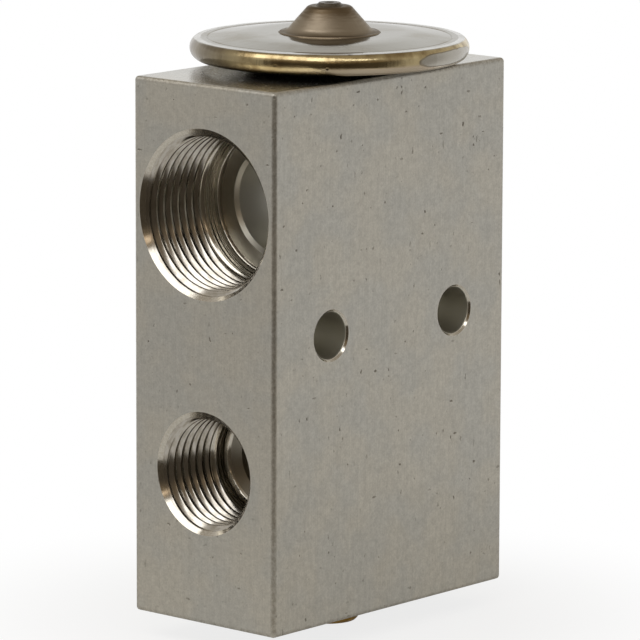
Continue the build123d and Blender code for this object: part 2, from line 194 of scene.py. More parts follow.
@dataclass(frozen=True)
class Dents:
    """One kind of small irregular dent, scattered over a surface.

    A cell is the mean distance between dents in space, the radius is the
    largest that one has on a surface, and an axis with a stretch below 1 has
    its dents drawn out along it. The wobble is how far an outline wanders.
    """

    cell_mm: float
    radius_mm: float
    share: float = 1.0
    stretch: Triple = (1.0, 1.0, 1.0)
    turn_deg: Triple = (0, 0, 0)
    wobble_mm: float = 0.16
    wander_mm: float = 0.55


class Pattern:
    """Builds masks and patterns inside one node tree."""

    def __init__(self, tree: bpy.types.NodeTree, coordinates: str = "Object") -> None:
        """Start from one kind of the tree's texture coordinates."""
        self.tree = tree
        self.place = add(tree, "TexCoord").outputs[coordinates]

    def feed(self, socket: Socket, value: Value | str) -> None:
        """Give an input a number, a hex colour or a link.

        Args:
            socket: the input.
            value: what it gets.
        """
        if isinstance(value, str):
            socket.default_value = linear(value)
        elif isinstance(value, (int, float)):
            socket.default_value = value
        else:
            self.tree.links.new(value, socket)

    def math(self, operation: str, *values: Value) -> Socket:
        """Apply a Math node.

        Args:
            operation: the node's operation.
            values: numbers or output sockets, in order.

        Returns:
            The result socket.
        """
        node = add(self.tree, "Math", operation=operation)
        for index, value in enumerate(values):
            self.feed(node.inputs[index], value)
        return node.outputs[0]

    def times(self, *values: Value) -> Socket:
        """Multiply the values, in order."""
        return reduce(lambda first, second: self.math("MULTIPLY", first, second), values)

    def plus(self, *values: Value) -> Socket:
        """Add up the values, in order."""
        return reduce(lambda first, second: self.math("ADD", first, second), values)

    def minus(self, *values: Value) -> Socket:
        """Take the later values from the first."""
        return reduce(lambda first, second: self.math("SUBTRACT", first, second), values)

    def most(self, *values: Value) -> Socket:
        """Return the largest of the values."""
        return reduce(lambda first, second: self.math("MAXIMUM", first, second), values)

    def spread(
        self, value: Value, low: float, high: float, out_low: float = 0.0, out_high: float = 1.0
    ) -> Socket:
        """Map a range smoothly to another range, held at its ends.

        Args:
            value: what is mapped.
            low: the value that gives out_low.
            high: the value that gives out_high.
            out_low: the result at low.
            out_high: the result at high.

        Returns:
            The result socket.
        """
        ends = {"in_1": low, "in_2": high, "in_3": out_low, "in_4": out_high}
        node = add(self.tree, "MapRange", {0: value}, interpolation_type="SMOOTHSTEP", **ends)
        return node.outputs[0]

    def mapped(self, scale: Triple, turn_deg: Triple = (0, 0, 0)) -> Socket:
        """Return the coordinates turned and scaled.

        Args:
            scale: factor of each axis.
            turn_deg: turns about X, Y and Z.

        Returns:
            The mapped coordinates' socket.
        """
        turn = tuple(math.radians(angle) for angle in turn_deg)
        node = add(self.tree, "Mapping", {0: self.place}, in_Rotation=turn, in_Scale=scale)
        return node.outputs[0]

    def noise(
        self,
        size_mm: float | Triple,
        detail: float = 2.0,
        turn_deg: Triple = (0, 0, 0),
        rough: float = 0.5,
    ) -> Socket:
        """Make noise with cells of a given size.

        Args:
            size_mm: the cells' size, one number or one for each axis.
            detail: how many finer layers it has.
            turn_deg: turns of the pattern about X, Y and Z.
            rough: how strong the finer layers are.

        Returns:
            The noise's socket.
        """
        sizes = size_mm if isinstance(size_mm, tuple) else (size_mm,) * 3
        place = self.mapped(tuple(1 / (size * MM) for size in sizes), turn_deg)
        settings = {"in_Scale": 1.0, "in_Detail": detail, "in_Roughness": rough}
        return add(self.tree, "TexNoise", {"Vector": place}, **settings).outputs["Fac"]

    def line_noise(self, along: Socket, detail: float) -> Socket:
        """Make noise along one running value, with cells 1 long.

        Args:
            along: the running value.
            detail: how many finer layers it has.

        Returns:
            The noise's socket.
        """
        settings = {"noise_dimensions": "1D", "in_Scale": 1.0, "in_Detail": detail}
        return add(self.tree, "TexNoise", {"W": along}, **settings).outputs["Fac"]

    def dents(self, kind: Dents) -> Socket:
        """Mask of one kind of dent, of random size and depth, up to 1 inside one.

        Args:
            kind: the dents' sizes.

        Returns:
            The mask's socket.
        """
        tree, cell = self.tree, kind.cell_mm
        fine = self.mapped((1 / (kind.wander_mm * MM),) * 3)
        colour = add(tree, "TexNoise", {"Vector": fine}, in_Scale=1.0).outputs["Color"]
        wander = add(tree, "VectorMath", {0: colour}, operation="SUBTRACT", in_1=(0.5,) * 3)
        drift = 2 * kind.wobble_mm / cell
        shift = add(tree, "VectorMath", {0: wander.outputs[0]}, operation="SCALE", in_3=drift)
        turned = self.mapped(tuple(part / (cell * MM) for part in kind.stretch), kind.turn_deg)
        moved = add(tree, "VectorMath", {0: turned, 1: shift.outputs[0]}, operation="ADD")
        cells = add(tree, "TexVoronoi", {"Vector": moved.outputs[0]}, in_Scale=1.0)
        chance = add(tree, "SeparateColor", {0: cells.outputs["Color"]}).outputs
        reach = self.times(self.spread(chance[0], 0.0, 1.0, 0.3, 1.0), kind.radius_mm / cell)
        off = self.math("DIVIDE", cells.outputs["Distance"], reach)
        inside = self.spread(off, 0.4, 1.0, 1.0, 0.0)
        return self.times(inside, self.spread(chance[1], 0.1, 1.0, 0.1, 1.0))

    def axes(self) -> list[Socket]:
        """Return the coordinates' X, Y and Z sockets."""
        return list(add(self.tree, "SeparateXYZ", {0: self.place}).outputs)

    def distance(self, first: Value, second: Value, centre: Pair = (0.0, 0.0)) -> Socket:
        """Measure how far a point lies from a line through centre, square to both axes.

        Args:
            first: the point's place on the first axis.
            second: its place on the second axis.
            centre: where the line crosses both axes.

        Returns:
            The distance's socket.
        """
        a, b = self.minus(first, centre[0]), self.minus(second, centre[1])
        return self.math("SQRT", self.plus(self.times(a, a), self.times(b, b)))

    def near_line(self, first: Value, second: Value, centre: Pair, radius: float) -> Socket:
        """Mask that is 1 within radius of that line."""
        return self.math("LESS_THAN", self.distance(first, second, centre), radius)

    def blend(self, mask: Socket, low: Value, high: Value) -> Socket:
        """Mix two numbers by a mask.

        Args:
            mask: share of the second one.
            low: what a mask of 0 gives.
            high: what a mask of 1 gives.

        Returns:
            The result socket.
        """
        node = add(self.tree, "Mix", {0: mask}, data_type="FLOAT")
        self.feed(node.inputs[2], low)
        self.feed(node.inputs[3], high)
        return node.outputs[0]

    def colour(
        self, mask: Value, low: Socket | str, high: Socket | str, how: Mixing = Mixing.BLEND
    ) -> Socket:
        """Mix two colours, each a hex string or a socket, by a mask or a plain share.

        Args:
            mask: share of the second one.
            low: what a mask of 0 gives.
            high: what a mask of 1 gives.
            how: whether they are blended or multiplied.

        Returns:
            The result socket.
        """
        node = add(self.tree, "Mix", data_type="RGBA", blend_type=how.value)
        for index, value in ((0, mask), (6, low), (7, high)):
            self.feed(node.inputs[index], value)
        return node.outputs[2]

    def grey(self, value: Socket) -> Socket:
        """Make a grey colour from a number."""
        return add(self.tree, "CombineColor", {0: value, 1: value, 2: value}).outputs[0]

    def bump(self, height: Socket, depth_mm: float, below: Socket | None = None) -> Socket:
        """Turn a height between 0 and 1 into a normal.

        Args:
            height: the height socket.
            depth_mm: what a height of 1 stands for.
            below: a normal that this bump lies on.

        Returns:
            The normal socket.
        """
        links = {"Height": height} if below is None else {"Height": height, "Normal": below}
        node = add(self.tree, "Bump", links, in_Strength=1.0, in_Distance=depth_mm * MM)
        return node.outputs[0]


# ------------------------------------------------------------------ finishes


@dataclass(frozen=True)
class Finish:
    """A surface finish; each kind of finish fills in paint()."""

    name: str

    def paint(self, pattern: Pattern, shader: bpy.types.Node) -> None:
        """Set the shader's sockets and link its patterns."""
        raise NotImplementedError

    def material(self) -> bpy.types.Material:
        """Build the finish as a material.

        Returns:
            The new material.
        """
        made = bpy.data.materials.new(self.name)
        made.use_nodes = True
        tree = made.node_tree
        tree.nodes.clear()
        shader = add(tree, "BsdfPrincipled")
        add(tree, "OutputMaterial", {0: shader.outputs[0]})
        self.paint(Pattern(tree), shader)
        return made


@dataclass(frozen=True)
class BoreMasks:
    """Masks of the block's machined parts, each 1 inside its own."""

    every: Socket
    drilled: Socket
    relief: Socket
    port: Socket


@dataclass(frozen=True)
class BlockAluminium(Finish):
    """Drawn and tumbled aluminium bar with machined bores.

    It gives the eye a matt, slightly warm grey with faint lines along the
    draw, small dark handling dents and scuffed edges. The bores were cut with
    a sharp tool, so they are smoother and show light and dark in bands.
    """

    skin: str = "C2BEB4"
    skin_cool: str = "BDBBB4"
    dent: str = "5E5748"
    scuff: str = "857C6C"
    drilled: str = "DDDACF"
    drilled_low: str = "B5B0A4"
    machined: str = "D4D0C7"
    machined_dull: str = "C0BAAE"
    half_width: float = 12.7 * MM
    half_depth: float = 24.0 * MM
    foot: float = 0.0
    head: float = 0.0
    front_bores: tuple = ()
    rear_bores: tuple = ()
    cross_bores: tuple = ()
    core_inset: float = 1.95 * MM
    hole_inset: float = 0.28 * MM
    relief_from: float = 4 * MM
    # heights below the head between which the drilled bores' colour turns darker towards the bottom
    darker_below: Pair = (36 * MM, 40 * MM)
    edge_band: Pair = (0.75 * MM, 0.3 * MM)
    milled_skin: float = 0.08 * MM
    # the draw lines and the grain are some 0.05 mm fine; both are drawn coarser, to show
    draw_mm: Triple = (0.25, 0.25, 9.0)
    grain_mm: float = 0.3
    mottle_mm: float = 1.0
    cloud_mm: float = 7.0
    nick_mm: Triple = (0.42, 0.42, 0.6)
    # a boring tool leaves lines about 0.15 mm apart; they are drawn at 0.7 mm to show
    tool_mm: float = 0.7
    marked: tuple = (
        Dents(1.35, 0.24, 0.9, (1.0, 1.0, 0.6), (20, 10, 0), 0.26),
        Dents(1.45, 0.22, 0.8, (0.5, 0.5, 1.0), (-35, 25, 15), 0.26),
        Dents(1.75, 0.2, 0.7, (1.0, 1.0, 0.25), (40, -25, 0), 0.2),
        Dents(0.66, 0.14, 0.4, wobble_mm=0.14),
    )
    pocked: Dents = Dents(1.0, 0.26, 0.8, wobble_mm=0.2)
    pocked_below: Pair = (9 * MM, 2 * MM)

    def bored(self, pattern: Pattern) -> BoreMasks:
        """Find the machined bores.

        Args:
            pattern: the material's pattern builder.

        Returns:
            Masks of every bore, of the drilled ones, which are duller (port
            floors, passages and bolt holes), of the tool-marked reliefs, and
            of the port floors and passages alone.
        """
        x, y, z = pattern.axes()
        is_front = pattern.math("LESS_THAN", y, 0.0)
        lines = [(bore, is_front) for bore in self.front_bores]
        lines += [(bore, pattern.minus(1.0, is_front)) for bore in self.rear_bores]
        mouths, cores = (
            pattern.most(
                *(
                    pattern.times(pattern.near_line(x, z, centre, radius - inset), side)
                    for (centre, radius), side in lines
                )
            )
            for inset in (0.0, self.core_inset)
        )
        depth = pattern.minus(self.half_depth, pattern.math("ABSOLUTE", y))
        deep = pattern.math("GREATER_THAN", depth, self.relief_from)
        relief = pattern.times(mouths, pattern.minus(1.0, cores), deep)
        holes, drills = (
            [pattern.near_line(y, z, centre, radius - inset) for centre, radius in self.cross_bores]
            for inset in (0.0, self.hole_inset)
        )
        return BoreMasks(pattern.most(mouths, *holes), pattern.most(cores, *drills), relief, cores)

    def edges(self, pattern: Pattern) -> Socket:
        """Find the block's rounded edges.

        Args:
            pattern: the material's pattern builder.

        Returns:
            A mask that is 1 on them.
        """
        x, y, z = pattern.axes()
        lift = pattern.minus(z, (self.foot + self.head) / 2)
        half_height = (self.head - self.foot) / 2
        outer, inner = self.edge_band
        near = [
            pattern.spread(pattern.math("ABSOLUTE", axis), half - outer, half - inner)
            for axis, half in ((x, self.half_width), (y, self.half_depth), (lift, half_height))
        ]
        return pattern.most(*(pattern.times(near[i], near[j]) for i, j in ((0, 1), (1, 2), (0, 2))))

    def marks(self, pattern: Pattern, z: Socket) -> Socket:
        """Find the handling dents and short scratches; there are more of them under the head.

        Args:
            pattern: the material's pattern builder.
            z: socket with the height.

        Returns:
            A mask, up to 1 inside a mark.
        """
        layers = [pattern.times(pattern.dents(kind), kind.share) for kind in self.marked]
        crowd = pattern.times(pattern.spread(pattern.noise(5.0), 0.45, 0.6), self.pocked.share)
        low, high = (self.head - below for below in self.pocked_below)
        crowd = pattern.times(crowd, pattern.spread(z, low, high))
        return pattern.most(*layers, pattern.times(pattern.dents(self.pocked), crowd))

    def skin_colour(
        self, pattern: Pattern, lines: Socket, grain: Socket, marks: Socket, nicked: Socket
    ) -> Socket:
        """Colour the outside, from a soft cloud down to grain, dents and scuffs.

        Args:
            pattern: the material's pattern builder.
            lines: the draw lines.
            grain: the fine grain.
            marks: mask of the dents.
            nicked: mask of the scuffed edges.

        Returns:
            The colour's socket.
        """
        cloud = pattern.noise(self.cloud_mm, detail=2.0)
        mottle = pattern.noise(self.mottle_mm, detail=3.0, rough=0.65)
        skin = pattern.colour(pattern.spread(cloud, 0.35, 0.65), self.skin, self.skin_cool)
        shade = pattern.times(
            pattern.spread(grain, 0.3, 0.7, 0.92, 1.08),
            pattern.spread(mottle, 0.3, 0.7, 0.94, 1.06),
            pattern.spread(lines, 0.3, 0.7, 0.97, 1.03),
        )
        skin = pattern.colour(1.0, skin, pattern.grey(shade), Mixing.MULTIPLY)
        skin = pattern.colour(pattern.times(marks, 0.7), skin, self.dent)
        return pattern.colour(nicked, skin, self.scuff)

    def bore_colour(self, pattern: Pattern, z: Socket, grain: Socket, masks: BoreMasks) -> Socket:
        """Colour the bores: bright where turned, duller where drilled, and darker towards the
        bottom, in the lower ports.

        Args:
            pattern: the material's pattern builder.
            z: socket with the height.
            grain: the fine grain.
            masks: the bores' masks.

        Returns:
            The colour's socket.
        """
        turned = pattern.spread(grain, 0.3, 0.7)
        low = pattern.spread(z, *(self.head - below for below in self.darker_below))
        core = pattern.colour(low, self.drilled, self.drilled_low)
        bright = pattern.colour(turned, self.machined, self.machined_dull)
        return pattern.colour(masks.drilled, bright, core)

    def paint(self, pattern: Pattern, shader: bpy.types.Node) -> None:
        """Set the matt skin outside and the machined metal inside the bores.

        Args:
            pattern: the material's pattern builder.
            shader: the material's shader.
        """
        tree = pattern.tree
        masks = self.bored(pattern)
        z = pattern.axes()[2]
        lines = pattern.noise(self.draw_mm, detail=3.0)
        grain = pattern.noise(self.grain_mm, detail=3.0, rough=0.7)
        milled = pattern.math("GREATER_THAN", z, self.head - self.milled_skin)
        marks = pattern.times(self.marks(pattern, z), pattern.blend(milled, 1.0, 0.25))
        edges = self.edges(pattern)
        nicks = pattern.spread(pattern.noise(self.nick_mm, detail=3.0, rough=0.7), 0.4, 0.62)
        nicked = pattern.times(edges, pattern.blend(nicks, 0.03, 0.4))

        skin = self.skin_colour(pattern, lines, grain, marks, nicked)
        bore = self.bore_colour(pattern, z, grain, masks)
        pattern.feed(shader.inputs["Base Color"], pattern.colour(masks.every, skin, bore))
        shader.inputs["Metallic"].default_value = 1.0

        rough = pattern.plus(
            0.38, pattern.times(grain, 0.1), pattern.times(marks, 0.2), pattern.times(edges, 0.1)
        )
        rough = pattern.minus(rough, pattern.times(milled, 0.17))
        inner = pattern.blend(masks.drilled, 0.14, pattern.blend(masks.port, 0.46, 0.36))
        pattern.feed(shader.inputs["Roughness"], pattern.blend(masks.every, rough, inner))

        height = pattern.plus(pattern.times(grain, 0.5), pattern.times(lines, 0.2))
        height = pattern.minus(height, pattern.times(marks, 5.0), pattern.times(nicked, 1.5))
        outside = pattern.bump(height, 0.012)
        # a wave texture repeats 20 times in a full turn of its coordinate
        bands = pattern.mapped((1, math.tau / (20 * self.tool_mm * MM), 1))
        settings = {"bands_direction": "Y", "in_Scale": 1.0, "in_Distortion": 0.0}
        tool = add(tree, "TexWave", {"Vector": bands}, **settings).outputs["Fac"]
        inside = pattern.bump(pattern.times(tool, masks.relief), 0.045)
        links = {0: masks.every, 4: outside, 5: inside}
        normal = add(tree, "Mix", links, data_type="VECTOR")
        tree.links.new(normal.outputs[1], shader.inputs["Normal"])


@dataclass(frozen=True)
class CutThread(Finish):
    """Freshly cut aluminium thread.

    It gives the eye bright flanks that mirror the studio softly, with a slight
    chatter along the turns. The real chatter is about 0.1 mm long and is drawn
    coarser, so that it shows.
    """

    metal: str = "C4C0B9"
    dull: str = "ABA59A"
    chatter_mm: Triple = (1.4, 0.3, 1.4)
    rough: Pair = (0.13, 0.21)
    depth_mm: float = 0.002

    def paint(self, pattern: Pattern, shader: bpy.types.Node) -> None:
        """Set bright metal with a slight chatter.

        Args:
            pattern: the material's pattern builder.
            shader: the material's shader.
        """
        chatter = pattern.noise(self.chatter_mm, detail=2.0)
        tone = pattern.colour(pattern.spread(chatter, 0.35, 0.7), self.metal, self.dull)
        pattern.feed(shader.inputs["Base Color"], tone)
        shader.inputs["Metallic"].default_value = 1.0
        pattern.feed(shader.inputs["Roughness"], pattern.spread(chatter, 0.2, 0.8, *self.rough))
        pattern.feed(shader.inputs["Normal"], pattern.bump(chatter, self.depth_mm))


@dataclass(frozen=True)
class RolledSteel(Finish):
    """Bright rolled steel sheet, pressed to shape.

    It gives the eye a sheet close to a mirror, with faint rings round its
    middle and a few scuffs, and a duller, brown boss that was heated, with
    painted shade round its foot.
    """

    metal: str = "BFBDB7"
    stain: str = "ABA598"
    grazing: str = "D8D7D4"
    boss: str = "988C7B"
    # dark heat tint of the boss's top, also used as painted shade round the boss's foot
    boss_tint_and_foot_shade: str = "6B5C48"
    centre: Pair = (0.0, 0.0)
    boss_reach: float = 7.0 * MM
    boss_foot: float = 0.0
    boss_head: float = 0.0
    # the press leaves rings finer than 0.1 mm; they are drawn coarser, to show
    ring_mm: float = 0.35
    cloud_mm: float = 6.0
    scuff_mm: Triple = (0.09, 2.6, 2.6)
    scuff_turn_deg: Triple = (0, 0, 35)
    streak_mm: Triple = (1.8, 1.8, 0.3)
    depth_mm: float = 0.0035

    def boss_colour(self, pattern: Pattern, z: Socket, streaks: Socket) -> Socket:
        """Colour the boss, darker at its top and with painted shade at its lip, where the step's
        shadow falls.

        Args:
            pattern: the material's pattern builder.
            z: socket with the height.
            streaks: the rings that the press left.

        Returns:
            The colour's socket.
        """
        foot, span = self.boss_foot, self.boss_head - self.boss_foot
        climb = pattern.plus(z, pattern.times(pattern.minus(streaks, 0.5), 0.6 * span))
        burnt = pattern.spread(climb, foot + 0.4 * span, foot + 0.95 * span)
        tone = pattern.colour(burnt, self.boss, self.boss_tint_and_foot_shade)
        # painted shade: the foot of the boss is darkened where the lip's step casts its shadow
        lip = pattern.spread(z, foot + 0.06 * span, foot - 0.02 * span)
        return pattern.colour(pattern.times(lip, 0.6), tone, self.boss_tint_and_foot_shade)

    def paint(self, pattern: Pattern, shader: bpy.types.Node) -> None:
        """Set the smooth sheet and the duller boss.

        Args:
            pattern: the material's pattern builder.
            shader: the material's shader.
        """
        x, y, z = pattern.axes()
        reach = pattern.distance(x, y, self.centre)
        rings = pattern.line_noise(pattern.times(reach, 1 / (self.ring_mm * MM)), 2.0)
        cloud = pattern.noise(self.cloud_mm, detail=4.0)
        scuff = pattern.spread(pattern.noise(self.scuff_mm, 1.0, self.scuff_turn_deg), 0.68, 0.76)
        streaks = pattern.noise(self.streak_mm, detail=3.0)
        start = self.boss_foot + 0.1 * (self.boss_head - self.boss_foot)
        on_boss = pattern.most(
            pattern.spread(z, self.boss_foot, start),
            pattern.math("LESS_THAN", reach, self.boss_reach),
        )
        sheet = pattern.colour(pattern.spread(cloud, 0.45, 0.75), self.metal, self.stain)
        tone = pattern.colour(on_boss, sheet, self.boss_colour(pattern, z, streaks))
        pattern.feed(shader.inputs["Base Color"], tone)
        shader.inputs["Metallic"].default_value = 1.0
        shader.inputs["Specular Tint"].default_value = linear(self.grazing)
        smooth = pattern.spread(cloud, 0.3, 0.8, 0.09, 0.17)
        smooth = pattern.plus(smooth, pattern.times(scuff, 0.15))
        dull = pattern.spread(streaks, 0.3, 0.7, 0.32, 0.44)
        pattern.feed(shader.inputs["Roughness"], pattern.blend(on_boss, smooth, dull))
        height = pattern.plus(rings, pattern.times(cloud, 1.2))
        pattern.feed(shader.inputs["Normal"], pattern.bump(height, self.depth_mm))


@dataclass(frozen=True)
class WeldBead(Finish):
    """Fused steel bead that keeps its heat tint.

    It gives the eye straw and brown bands, fine ripples and small dark
    pinholes. The top is bare. Where the bead ends it lies over its own start,
    as a smooth grey patch with a darker outline.
    """

    straw: str = "C9B88F"
    brown: str = "937F5B"
    pale: str = "BDB09C"
    dull: str = "6C6355"
    bare: str = "BFBDB7"
    pit: str = "33291C"
    overlap: str = "A39E94"
    overlap_rim: str = "7C7466"
    centre: Pair = (0.0, 0.0)
    middle_z: float = 0.0
    core: float = 17.44 * MM
    bare_from: Pair = (18.7 * MM, 18.5 * MM)
    low_band: Pair = (0.2 * MM, 0.8 * MM)
    late_deg: Pair = (-75, -35)
    early_deg: Pair = (-78, -108)
    early_end_deg: Pair = (-176, -140)
    overlap_at_deg: Pair = (12.0, -4.0)
    overlap_half_deg: Pair = (22.0, 36.0)
    overlap_power: Pair = (4.0, 2.0)
    ripples_per_radian: float = 19.1 / 0.9
    cloud_mm: float = 2.6
    grain_mm: Triple = (0.4, 0.4, 0.25)
    pinholes: tuple = (Dents(1.6, 0.34), Dents(2.4, 0.5))

    def along(self, pattern: Pattern, angle: Socket, limits_deg: Pair) -> Socket:
        """Mask that grows from one heading round the head's axis to another."""
        return pattern.spread(angle, *(math.radians(limit) for limit in limits_deg))

    def overlap_mask(self, pattern: Pattern, angle: Socket, reach: Socket, z: Socket) -> Socket:
        """Find the patch where the bead's end covers its start.

        Args:
            pattern: the material's pattern builder.
            angle: socket with the heading round the head's axis.
            reach: socket with the distance from that axis.
            z: socket with the height.

        Returns:
            A mask that is 1 inside the patch.
        """
        rise = pattern.minus(z, self.middle_z)
        section = pattern.math("ARCTAN2", rise, pattern.minus(reach, self.core))
        sides = zip(
            (angle, section), self.overlap_at_deg, self.overlap_half_deg, self.overlap_power
        )
        shares = []
        for socket, middle, half, power in sides:
            off = pattern.math("ABSOLUTE", pattern.minus(socket, math.radians(middle)))
            off = pattern.math("DIVIDE", off, math.radians(half))
            shares.append(pattern.math("POWER", off, power))
        wander = pattern.times(pattern.noise(1.8, detail=3.0), 0.6)
        return pattern.spread(pattern.plus(*shares, wander), 1.35, 1.0)

    def tint(self, pattern: Pattern, angle: Socket, z: Socket, cloud: Socket) -> Socket:
        """Colour the heat tint, paler below towards +X and duller on the far left.

        Args:
            pattern: the material's pattern builder.
            angle: socket with the heading round the head's axis.
            z: socket with the height.
            cloud: the tint's own patches.

        Returns:
            The colour's socket.
        """
        tone = pattern.colour(pattern.spread(cloud, 0.35, 0.7), self.straw, self.brown)
        low = pattern.spread(z, *(self.middle_z - below for below in self.low_band))
        late = self.along(pattern, angle, self.late_deg)
        tone = pattern.colour(pattern.times(low, late), tone, self.pale)
        early = pattern.times(
            self.along(pattern, angle, self.early_deg),
            self.along(pattern, angle, self.early_end_deg),
            0.9,
        )
        return pattern.colour(early, tone, self.dull)

    def paint(self, pattern: Pattern, shader: bpy.types.Node) -> None:
        """Set the tint by height and heading, and the ripples along the bead.

        Args:
            pattern: the material's pattern builder.
            shader: the material's shader.
        """
        x, y, z = pattern.axes()
        reach = pattern.distance(x, y, self.centre)
        off_x, off_y = pattern.minus(x, self.centre[0]), pattern.minus(y, self.centre[1])
        angle = pattern.math("ARCTAN2", off_y, off_x)
        ripple = pattern.line_noise(pattern.times(angle, self.ripples_per_radian), 3.0)
        cloud = pattern.noise(self.cloud_mm, detail=3.0)
        grain = pattern.noise(self.grain_mm, detail=2.0)
        pitted = pattern.spread(pattern.noise(5.0), 0.45, 0.6)
        pits = pattern.most(*(pattern.dents(kind) for kind in self.pinholes))
        pits = pattern.times(pits, pitted)
        edge = pattern.plus(reach, pattern.times(cloud, 0.25 * MM))
        top = pattern.math("GREATER_THAN", z, self.middle_z)
        bare = pattern.times(top, pattern.spread(edge, *self.bare_from))
        overlap = self.overlap_mask(pattern, angle, reach, z)
        rim = pattern.times(overlap, pattern.minus(1.0, overlap), 2.8)

        tone = pattern.colour(bare, self.tint(pattern, angle, z, cloud), self.bare)
        tone = pattern.colour(pattern.times(pits, 0.75), tone, self.pit)
        tone = pattern.colour(overlap, tone, self.overlap)
        tone = pattern.colour(rim, tone, self.overlap_rim)
        pattern.feed(shader.inputs["Base Color"], tone)
        shader.inputs["Metallic"].default_value = 1.0
        pattern.feed(shader.inputs["Roughness"], pattern.spread(cloud, 0.2, 0.8, 0.15, 0.27))
        height = pattern.plus(ripple, pattern.times(grain, 0.25))
        height = pattern.minus(height, pattern.times(pits, 2.2))
        smooth = pattern.most(bare, pattern.times(overlap, 0.75))
        fine = pattern.bump(pattern.times(height, pattern.minus(1.0, smooth)), 0.026)
        pattern.feed(shader.inputs["Normal"], pattern.bump(overlap, 0.07, below=fine))


@dataclass(frozen=True)
class PlainMetal(Finish):
    """Turned, ground or drawn metal with a fine grain along one axis.

    It gives the eye an even tone that the grain breaks a little, in colour,
    gloss and height.
    """

    metal: str = "B5B2AC"
    dark: str = "8E8A82"
    rough: float = 0.3
    # the cutter's grain is mostly finer than 0.1 mm; it is drawn coarser, to show
    grain_mm: Triple = (0.3, 0.3, 0.3)
    depth_mm: float = 0.004

    def paint(self, pattern: Pattern, shader: bpy.types.Node) -> None:
        """Set the metal with its grain.

        Args:
            pattern: the material's pattern builder.
            shader: the material's shader.
        """
        grain = pattern.noise(self.grain_mm, detail=3.0)
        tone = pattern.colour(pattern.spread(grain, 0.3, 0.75), self.metal, self.dark)
        pattern.feed(shader.inputs["Base Color"], tone)
        shader.inputs["Metallic"].default_value = 1.0
        rough = pattern.spread(grain, 0.2, 0.8, 0.75 * self.rough, 1.25 * self.rough)
        pattern.feed(shader.inputs["Roughness"], rough)
        pattern.feed(shader.inputs["Normal"], pattern.bump(grain, self.depth_mm))


@dataclass(frozen=True)
class MouldedRubber(Finish):
    """Moulded nitrile rubber.

    It gives the eye a matt black-green with a light bloom.
    """

    rubber: str = "1E2320"
    bloom: str = "3B403A"
    # the mould's own texture is finer; it is drawn coarser, to show
    skin_mm: float = 0.2
    depth_mm: float = 0.008

    def paint(self, pattern: Pattern, shader: bpy.types.Node) -> None:
        """Set the rubber with a fine moulded skin.

        Args:
            pattern: the material's pattern builder.
            shader: the material's shader.
        """
        skin = pattern.noise(self.skin_mm, detail=2.0)
        tone = pattern.colour(pattern.spread(skin, 0.45, 0.8), self.rubber, self.bloom)
        pattern.feed(shader.inputs["Base Color"], tone)
        pattern.feed(shader.inputs["Roughness"], pattern.spread(skin, 0.2, 0.8, 0.45, 0.65))
        pattern.feed(shader.inputs["Normal"], pattern.bump(skin, self.depth_mm))


# ------------------------------------------------------------------ pieces made here


def mesh_piece(
    name: str,
    shape: bmesh.types.BMesh,
    material: bpy.types.Material,
    body: str | None = HOUSING,
) -> bpy.types.Object:
    """Turn a bmesh into a smooth piece, riding on a body if one is given.

    Args:
        name: the piece's name.
        shape: the finished bmesh, which is freed.
        material: its finish.
        body: the body that it rides on, or None to leave it on none.

    Returns:
        The new object.
    """
    bmesh.ops.recalc_face_normals(shape, faces=shape.faces)
    mesh = bpy.data.meshes.new(name)
    shape.to_mesh(mesh)
    shape.free()
    mesh.materials.append(material)
    mesh.polygons.foreach_set("use_smooth", [True] * len(mesh.polygons))
    mesh.set_sharp_from_angle(angle=SMOOTH_BELOW)
    piece = bpy.data.objects.new(name, mesh)
    bpy.context.collection.objects.link(piece)
    if body is not None:
        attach(piece, body)
    log.info("%s: %d faces", name, len(mesh.polygons))
    return piece


def close_holes(shape: bmesh.types.BMesh) -> None:
    """Put a face over every open end."""
    bmesh.ops.holes_fill(shape, edges=[edge for edge in shape.edges if edge.is_boundary], sides=0)


